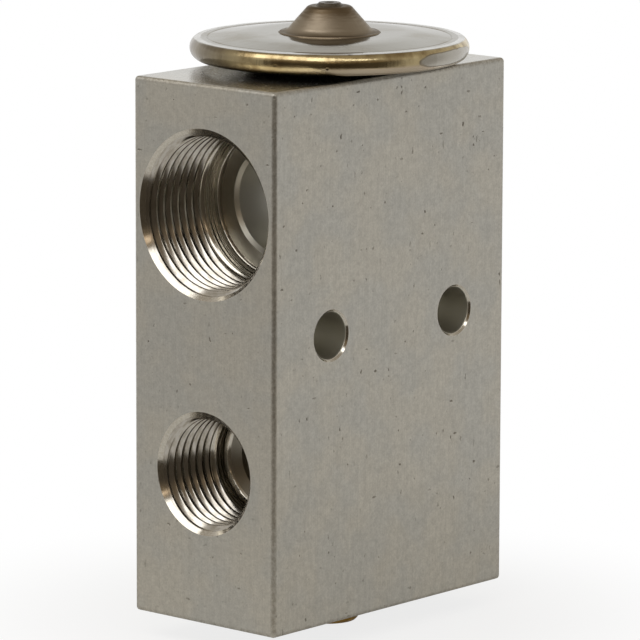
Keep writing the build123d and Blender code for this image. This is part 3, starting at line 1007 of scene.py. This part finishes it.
@dataclass
class PortThread:
    """The helical thread of one port, as a ridge seated in the port's plain bore.

    The bore in the solid has the thread's major radius. The ridge stands on it
    up to the minor radius, and the port's mouth cone cuts it off.
    """

    name: str
    centre_z: float
    turn: Turn
    face_y: float
    major: float
    depth: float
    pitch: float = 25.4 * MM / 18
    height_share: float = 0.47
    crest_share: float = 0.26
    crest_round: float = 0.07 * MM
    mouth_flare: float = 0.55 * MM
    seat: float = 0.06 * MM
    sunk: float = 0.015 * MM
    shallow: float = 0.12 * MM
    joined: float = 1e-7
    steps: int = 96

    def ridge_outline(self, minor: float) -> list[Pair]:
        """Draw the ridge's section, from its foot round its crest.

        Args:
            minor: radius of the crest.

        Returns:
            The outline's points, each a radius and a depth.
        """
        foot, soft = self.major + self.seat, self.crest_round
        half_crest = self.crest_share * self.pitch / 2
        half_foot = half_crest + (foot - minor) * THREAD_FLANK
        return [
            (foot, -half_foot),
            (minor + soft, -half_crest - soft * THREAD_FLANK),
            (minor, -half_crest + 0.6 * soft),
            (minor, half_crest - 0.6 * soft),
            (minor + soft, half_crest + soft * THREAD_FLANK),
            (foot, half_foot),
        ]

    def trim(self, shape: bmesh.types.BMesh, inwards: Vector, minor: float) -> None:
        """Press what passes the mouth cone or the relief into the metal, where it is hidden.

        Args:
            shape: the swept ridge, about its own axis.
            inwards: direction into the block.
            minor: radius of the ridge's crest.
        """
        cone = self.major + self.mouth_flare + self.sunk
        for vert in shape.verts:
            depth = vert.co.dot(inwards)
            if depth < self.shallow:
                vert.co += inwards * (self.shallow - depth)
                depth = self.shallow
            reach = math.hypot(vert.co.x, vert.co.z)
            least = max(cone - depth, minor + self.sunk if depth > self.depth else 0.0)
            if reach < least:
                vert.co.x *= least / reach
                vert.co.z *= least / reach
        bmesh.ops.remove_doubles(shape, verts=shape.verts, dist=self.joined)
        bmesh.ops.dissolve_degenerate(shape, edges=shape.edges, dist=self.joined)

    def build(self, material: bpy.types.Material) -> bpy.types.Object:
        """Sweep the ridge along its helix, trim it at both ends and place it.

        Args:
            material: the thread's finish.

        Returns:
            The thread as a piece.
        """
        minor = self.major - self.height_share * self.pitch
        inwards = Vector((0, -self.turn.value, 0))
        shape = bmesh.new()
        start = -self.pitch
        outline = [
            shape.verts.new(Vector((radius, 0, 0)) + inwards * (start + depth))
            for radius, depth in self.ridge_outline(minor)
        ]
        edges = [shape.edges.new(pair) for pair in zip(outline, outline[1:] + outline[:1])]
        turns = (self.depth - start + self.height_share * self.pitch) / self.pitch
        count = round(turns * self.steps)
        bmesh.ops.spin(
            shape,
            geom=edges,
            cent=(0, 0, 0),
            axis=inwards,
            dvec=inwards * self.pitch / self.steps,
            angle=math.tau * count / self.steps,
            steps=count,
            use_merge=False,
        )
        close_holes(shape)
        self.trim(shape, inwards, minor)
        bmesh.ops.translate(shape, verts=shape.verts, vec=(0, self.face_y, self.centre_z))
        return mesh_piece(self.name, shape, material)


@dataclass
class CoilSpring:
    """The superheat spring, in two lengths of one coil.
    """

    axis: Pair
    low: float
    high: float
    wire: float = 0.55 * MM
    mean: float = 3.3 * MM
    pitch: float = 1.9 * MM
    end_coil: float = 1.0 * MM
    still: float = 0.65 * MM
    joined: float = 1e-7
    steps: int = 48
    sides: int = 16

    def length_of_coil(self, first: int, count: int) -> bmesh.types.BMesh:
        """Sweep the wire along a stretch of the helix and grind it flat at the spring's ends.

        Args:
            first: step of the helix where the stretch starts.
            count: how many steps it spans.

        Returns:
            The closed stretch of wire.
        """
        shape = bmesh.new()
        rise, angle = self.pitch / self.steps, math.tau / self.steps
        made = bmesh.ops.create_circle(shape, radius=self.wire, segments=self.sides)
        circle, middle = made["verts"], (0, 0, 0)
        upright = Matrix.Rotation(math.radians(90), 3, "X")
        heading = Matrix.Rotation(first * angle, 3, "Z")
        start = Vector((self.mean, 0, self.low - self.wire + first * rise))
        bmesh.ops.rotate(shape, verts=circle, cent=middle, matrix=upright)
        bmesh.ops.translate(shape, verts=circle, vec=start)
        bmesh.ops.rotate(shape, verts=circle, cent=middle, matrix=heading)
        bmesh.ops.spin(
            shape,
            geom=shape.edges[:],
            cent=middle,
            axis=(0, 0, 1),
            dvec=(0, 0, rise),
            angle=count * angle,
            steps=count,
            use_merge=False,
        )
        for height, outwards in ((self.low, -1), (self.high, 1)):
            bmesh.ops.bisect_plane(
                shape,
                geom=shape.verts[:] + shape.edges[:] + shape.faces[:],
                dist=self.joined,
                plane_co=(0, 0, height),
                plane_no=(0, 0, outwards),
                clear_outer=True,
            )
        close_holes(shape)
        bmesh.ops.translate(shape, verts=shape.verts, vec=(*self.axis, 0))
        return shape

    def build(self, material: bpy.types.Material) -> None:
        """Make both lengths and hide the imported spring.

        Args:
            material: the spring's finish.
        """
        whole = round((self.high - self.low + 2 * self.wire) / self.pitch * self.steps)
        half = whole // 2
        lower, upper = (
            mesh_piece(name, self.length_of_coil(first, count), material, None)
            for name, first, count in (
                ("superheat_spring_lower", 0, half),
                ("superheat_spring_upper", half, whole - half),
            )
        )
        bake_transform(lower)
        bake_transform(upper)
        for piece in (lower, upper):
            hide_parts("superheat_spring")


# ------------------------------------------------------------------ the valve


@dataclass
class Valve:
    """The whole valve: what each solid is finished with, and the pieces made here."""

    mounts: dict = field(init=False)
    materials: dict = field(init=False, default_factory=dict)
    block_low: Vector = field(init=False)
    block_high: Vector = field(init=False)
    axis: Pair = field(init=False)
    head_reach: float = field(init=False)
    bead_middle: float = field(init=False)

    def __post_init__(self) -> None:
        """Read the mounts and the main boxes from the frame."""
        self.mounts = {mount["name"]: mount for mount in frame["record"]["mounts"]}
        self.block_low, self.block_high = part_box("valve_block")
        head_low, head_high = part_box("rim_weld")
        self.axis = ((head_low[0] + head_high[0]) / 2, (head_low[1] + head_high[1]) / 2)
        self.head_reach = (head_high[0] - head_low[0]) / 2
        self.bead_middle = self.block_high[2] + BEAD_LIFT

    def port_circles(self, turn: Turn) -> tuple:
        """Measure the ports on one face.

        Args:
            turn: which face.

        Returns:
            The centre and mouth radius of each port on it.
        """
        ports = [self.mounts[name] for name in PORTS]
        return tuple(
            ((port["pos_m"][0], port["pos_m"][2]), (port["dims"]["r_mm"] + MOUTH_EDGE_MM) * MM)
            for port in ports
            if port["axis"][1] * turn.value > 0
        )

    def hole_circles(self) -> tuple:
        """Measure the bolt holes.

        Returns:
            The centre and outer radius of each hole.
        """
        holes = self.mounts["mounting_holes"]
        half = holes["dims"]["spacing_x_mm"] * MM / 2
        _, hole_y, hole_z = holes["pos_m"]
        radius = (holes["dims"]["hole_r_mm"] + HOLE_EDGE_MM) * MM
        return tuple(((hole_y + side * half, hole_z), radius) for side in (-1, 1))

    def make_materials(self) -> None:
        """Build every finish once."""
        _, cover_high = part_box("upper_cover")
        finishes = {
            Kind.BLOCK: BlockAluminium(
                "drawn_aluminium_block",
                half_width=self.block_high[0],
                half_depth=self.block_high[1],
                foot=self.block_low[2],
                head=self.block_high[2],
                front_bores=self.port_circles(Turn.FRONT),
                rear_bores=self.port_circles(Turn.REAR),
                cross_bores=self.hole_circles(),
            ),
            Kind.THREAD: CutThread("cut_aluminium_thread"),
            Kind.COVER: RolledSteel(
                "bright_rolled_steel",
                centre=self.axis,
                boss_foot=cover_high[2] - BOSS_HEIGHT,
                boss_head=cover_high[2],
            ),
            Kind.WELD: WeldBead(
                "straw_tinted_weld",
                centre=self.axis,
                middle_z=self.bead_middle,
                core=self.head_reach - BEAD_RADIUS,
            ),
            # steel that was heated and left so: dark and soft
            Kind.PLUG: PlainMetal("dull_steel_plug", metal="6E675C", dark="4C463C", rough=0.4),
            # steel turned about the spindle: even grey with fine level rings
            Kind.INNER_STEEL: PlainMetal("machined_steel", grain_mm=(0.5, 0.5, 0.15)),
            # hard drawn wire and strip: a darker, bluish grey
            Kind.SPRING_STEEL: PlainMetal(
                "drawn_spring_steel", metal="9A9A9B", dark="6F6F70", rough=0.34
            ),
            # ground and lapped ball: a bright mirror
            Kind.BALL: PlainMetal(
                "polished_steel_ball", metal="D5D4D1", dark="C4C3C0", rough=0.08, depth_mm=0.0006
            ),
            # turned aluminium: pale, with level rings that catch the light
            Kind.ROD: PlainMetal(
                "turned_aluminium_rod",
                metal="C6C1B7",
                dark="A9A49A",
                rough=0.28,
                grain_mm=(0.9, 0.9, 0.12),
            ),
            # turned brass: golden, with level rings and a browner tone between them
            Kind.BRASS: PlainMetal(
                "turned_brass", metal="C9A35C", dark="9E7B3C", grain_mm=(1.2, 1.2, 0.14)
            ),
            Kind.SEAL: MouldedRubber("moulded_nitrile"),
        }
        self.materials = {kind: finish.material() for kind, finish in finishes.items()}

    def dress_nodes(self) -> None:
        """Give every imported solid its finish."""
        for kind, nodes in NODE_FINISHES.items():
            for node in nodes:
                piece = frame["nodes"][node]
                piece.data.materials.clear()
                piece.data.materials.append(self.materials[kind])
                log.info("%s: %s", node, self.materials[kind].name)

    def cut_threads(self) -> None:
        """Add the thread turns of the four ports."""
        for name in PORTS:
            mount = self.mounts[name]
            turn = Turn.FRONT if mount["axis"][1] < 0 else Turn.REAR
            face_y = self.block_low[1] if turn is Turn.FRONT else self.block_high[1]
            PortThread(
                name=name + "_thread",
                centre_z=mount["pos_m"][2],
                turn=turn,
                face_y=face_y,
                major=mount["dims"]["r_mm"] * MM,
                depth=abs(mount["pos_m"][1] - face_y) + mount["dims"]["length_mm"] * MM / 2,
            ).build(self.materials[Kind.THREAD])

    def wind_spring(self) -> None:
        """Add the superheat spring, in two lengths."""
        low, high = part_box("superheat_spring")
        screw_low, screw_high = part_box("adjusting_screw")
        axis = ((screw_low[0] + screw_high[0]) / 2, (screw_low[1] + screw_high[1]) / 2)
        CoilSpring(axis, low[2], high[2]).build(self.materials[Kind.SPRING_STEEL])

    def build(self) -> None:
        """Build and dress the whole valve."""
        self.make_materials()
        self.dress_nodes()
        self.cut_threads()
        self.wind_spring()


# ------------------------------------------------------------------ studio


@dataclass
class Softbox:
    """A rectangular lamp that looks at the valve."""

    name: str
    towards: Triple
    width: float
    height: float
    radiance: float
    colour: str = "FFFFFF"
    distance: float = 0.8

    def build(self, target: Vector) -> None:
        """Place the lamp and turn it to the target.

        Args:
            target: the point that it looks at.
        """
        lamp = bpy.data.lights.new(self.name, "AREA")
        lamp.shape = "RECTANGLE"
        lamp.size = self.width
        lamp.size_y = self.height
        lamp.energy = self.radiance * math.pi * self.width * self.height
        lamp.color = linear(self.colour)[:3]
        holder = bpy.data.objects.new(self.name, lamp)
        away = Vector(self.towards).normalized()
        holder.location = target + away * self.distance
        holder.rotation_euler = away.to_track_quat("Z", "Y").to_euler()
        bpy.context.collection.objects.link(holder)


# a wide soft lamp high in front, a smaller one to the right and a faint warm one by the camera
LAMPS = (
    Softbox("key_softbox", (0.0, -0.6, 0.8), 1.1, 0.44, 1.95),
    Softbox("side_softbox", (0.68, -0.27, 0.67), 0.26, 0.14, 2.35),
    Softbox("warm_bulb", (0.62, -0.68, 0.39), 0.12, 0.08, 1.1, "FFE6C8"),
)


@dataclass
class Studio:
    """Camera, lamps, surroundings and floor.

    The surroundings are painted by facing, which is 1 behind the camera and
    -1 behind the valve, and by height, which is 1 straight up. Each pair says
    between which two values one colour passes into the next.
    """

    azimuth_deg: float = 41.08
    elevation_deg: float = 10.461
    roll_deg: float = 0.19
    camera_distance: float = 751.98 * MM
    aim_height: float = 36.898 * MM
    side_shift: float = 0.1435 * MM
    rise_shift: float = -1.7132 * MM
    lens_mm: float = 307.55
    sensor_mm: float = 36.0
    clip_start: float = 0.01
    lamp_target: Triple = (0, 0, 0.05)
    block_foot: float = 3.6 * MM
    backdrop: str = "F6F6F5"
    side_wall: str = "C2BFBA"
    dark_room: str = "484137"
    warm_wall: str = "796A55"
    ceiling_edge: str = "CFCBC4"
    ceiling: str = "A2998B"
    ground: str = "CDC8C3"
    to_dark_room: Pair = (0.25, 0.8)
    to_backdrop: Pair = (0.0, -0.52)
    to_ceiling_edge: Pair = (0.3, 0.4)
    to_ceiling: Pair = (0.4, 0.95)
    near_side: Pair = (0.45, 0.8)
    to_warm_wall: Pair = (0.14, 0.36)
    to_near_ceiling: Pair = (0.48, 0.66)
    to_ground: Pair = (-0.58, -0.68)
    mirrored_behind: Pair = (-0.6, -0.7)
    mirrored_level: Pair = (0.3, 0.25)
    floor_radius: float = 85 * MM
    floor_sides: int = 96
    floor_colour: str = "DDDDDB"
    floor_shown: Pair = (0.8, 1.0)
    floor_shown_reach: Pair = (20 * MM, 68 * MM)
    floor_mirrored: float = 0.15

    def view_axes(self) -> tuple[Vector, Vector, Vector]:
        """Work out how the camera stands.

        Returns:
            Its right, up and backward directions.
        """
        angles = (self.azimuth_deg, self.elevation_deg, self.roll_deg)
        turn, lift, roll = (math.radians(angle) for angle in angles)
        flat = math.cos(lift)
        back = Vector((math.sin(turn) * flat, -math.cos(turn) * flat, math.sin(lift)))
        level = Vector((math.cos(turn), math.sin(turn), 0))
        rise = back.cross(level)
        right = level * math.cos(roll) + rise * math.sin(roll)
        up = rise * math.cos(roll) - level * math.sin(roll)
        return right, up, back

    def build_camera(self) -> None:
        """Set the camera at its measured place."""
        right, up, back = self.view_axes()
        aim = Vector((0, 0, self.aim_height + self.block_foot))
        place = aim + back * self.camera_distance - right * self.side_shift - up * self.rise_shift
        lens = bpy.data.cameras.new("camera")
        lens.lens = self.lens_mm
        lens.sensor_width = self.sensor_mm
        lens.clip_start = self.clip_start
        camera = bpy.data.objects.new("camera", lens)
        rows = [[right[i], up[i], back[i], place[i]] for i in range(3)]
        camera.matrix_world = Matrix([*rows, [0, 0, 0, 1]])
        bpy.context.collection.objects.link(camera)
        bpy.context.scene.camera = camera

    def sky(self, pattern: Pattern, facing: Socket, height: Socket) -> Socket:
        """Paint the white backdrop, grey sides, ceiling, ground and the dark room.

        Args:
            pattern: the world's pattern builder.
            facing: socket with the facing.
            height: socket with the height.

        Returns:
            The colour's socket.
        """
        dark = pattern.spread(facing, *self.to_dark_room)
        sides = pattern.colour(dark, self.side_wall, self.dark_room)
        walls = pattern.colour(pattern.spread(facing, *self.to_backdrop), sides, self.backdrop)
        upper = pattern.spread(height, *self.to_ceiling)
        ceiling = pattern.colour(upper, self.ceiling_edge, self.ceiling)
        far = pattern.colour(pattern.spread(height, *self.to_ceiling_edge), walls, ceiling)
        warm = pattern.spread(height, *self.to_warm_wall)
        near = pattern.colour(warm, self.dark_room, self.warm_wall)
        near = pattern.colour(pattern.spread(height, *self.to_near_ceiling), near, ceiling)
        around = pattern.colour(pattern.spread(facing, *self.near_side), far, near)
        return pattern.colour(pattern.spread(height, *self.to_ground), around, self.ground)

    def build_world(self) -> None:
        """Surroundings, which the camera and level reflections see as plain white."""
        world = bpy.data.worlds.new("studio")
        world.use_nodes = True
        tree = world.node_tree
        tree.nodes.clear()
        pattern = Pattern(tree, "Generated")
        back = self.view_axes()[2]
        near = tuple(Vector((back.x, back.y, 0)).normalized())
        flat = add(tree, "VectorMath", {0: pattern.place}, operation="MULTIPLY", in_1=(1, 1, 0))
        flat = add(tree, "VectorMath", {0: flat.outputs[0]}, operation="NORMALIZE")
        facing = add(
            tree, "VectorMath", {0: flat.outputs[0]}, operation="DOT_PRODUCT", in_1=near
        ).outputs["Value"]
        height = pattern.axes()[2]
        rays = add(tree, "LightPath").outputs
        mirrored = pattern.times(
            pattern.most(rays["Is Glossy Ray"], rays["Is Transmission Ray"]),
            pattern.spread(facing, *self.mirrored_behind),
            pattern.spread(pattern.math("ABSOLUTE", height), *self.mirrored_level),
        )
        shown = pattern.most(rays["Is Camera Ray"], mirrored)
        colour = pattern.colour(shown, self.sky(pattern, facing, height), "FFFFFF")
        background = add(tree, "Background", {0: colour}, in_1=1.0)
        add(tree, "OutputWorld", {0: background.outputs[0]})
        bpy.context.scene.world = world

    def floor_material(self) -> bpy.types.Material:
        """Matt white table top that glows a little, so that it meets the backdrop.

        Returns:
            The new material.
        """
        made = bpy.data.materials.new("white_table")
        made.use_nodes = True
        tree = made.node_tree
        tree.nodes.clear()
        pattern = Pattern(tree)
        x, y, _ = pattern.axes()
        matt = add(tree, "BsdfDiffuse", in_Color=linear(self.floor_colour))
        glow = add(tree, "Emission", in_Color=linear("FFFFFF"), in_Strength=1.0)
        rays = add(tree, "LightPath").outputs
        reach = pattern.distance(x, y)
        outwards = pattern.spread(reach, *self.floor_shown_reach, *self.floor_shown)
        mirrored = pattern.most(rays["Is Glossy Ray"], rays["Is Transmission Ray"])
        share = pattern.most(
            pattern.times(rays["Is Camera Ray"], outwards),
            pattern.times(mirrored, self.floor_mirrored),
        )
        mixed = add(tree, "MixShader", {0: share, 1: matt.outputs[0], 2: glow.outputs[0]})
        add(tree, "OutputMaterial", {0: mixed.outputs[0]})
        return made

    def build_floor(self) -> None:
        """White table top under the valve, which takes its shadow."""
        shape = bmesh.new()
        bmesh.ops.create_circle(
            shape, cap_ends=True, radius=self.floor_radius, segments=self.floor_sides
        )
        mesh = bpy.data.meshes.new("floor")
        shape.to_mesh(mesh)
        shape.free()
        mesh.materials.append(self.floor_material())
        floor = bpy.data.objects.new("floor", mesh)
        bpy.context.collection.objects.link(floor)

    def build(self) -> None:
        """Build the whole studio."""
        bpy.context.scene.view_settings.view_transform = "Standard"
        self.build_camera()
        self.build_world()
        self.build_floor()
        for lamp in LAMPS:
            lamp.build(Vector(self.lamp_target))
        log.info("studio: %d lamps", len(LAMPS))


def clear_defaults() -> None:
    """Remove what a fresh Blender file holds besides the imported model."""
    kept = set(frame["nodes"].values()) | set(frame["bodies"].values())
    for thing in list(bpy.data.objects):
        if thing not in kept and thing.name in ("Cube", "Light", "Camera"):
            bpy.data.objects.remove(thing)


def main() -> None:
    """Build the valve and the studio."""
    clear_defaults()
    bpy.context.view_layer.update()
    Valve().build()
    Studio(block_foot=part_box("valve_block")[0][2]).build()


if __name__ == "__main__":
    main()
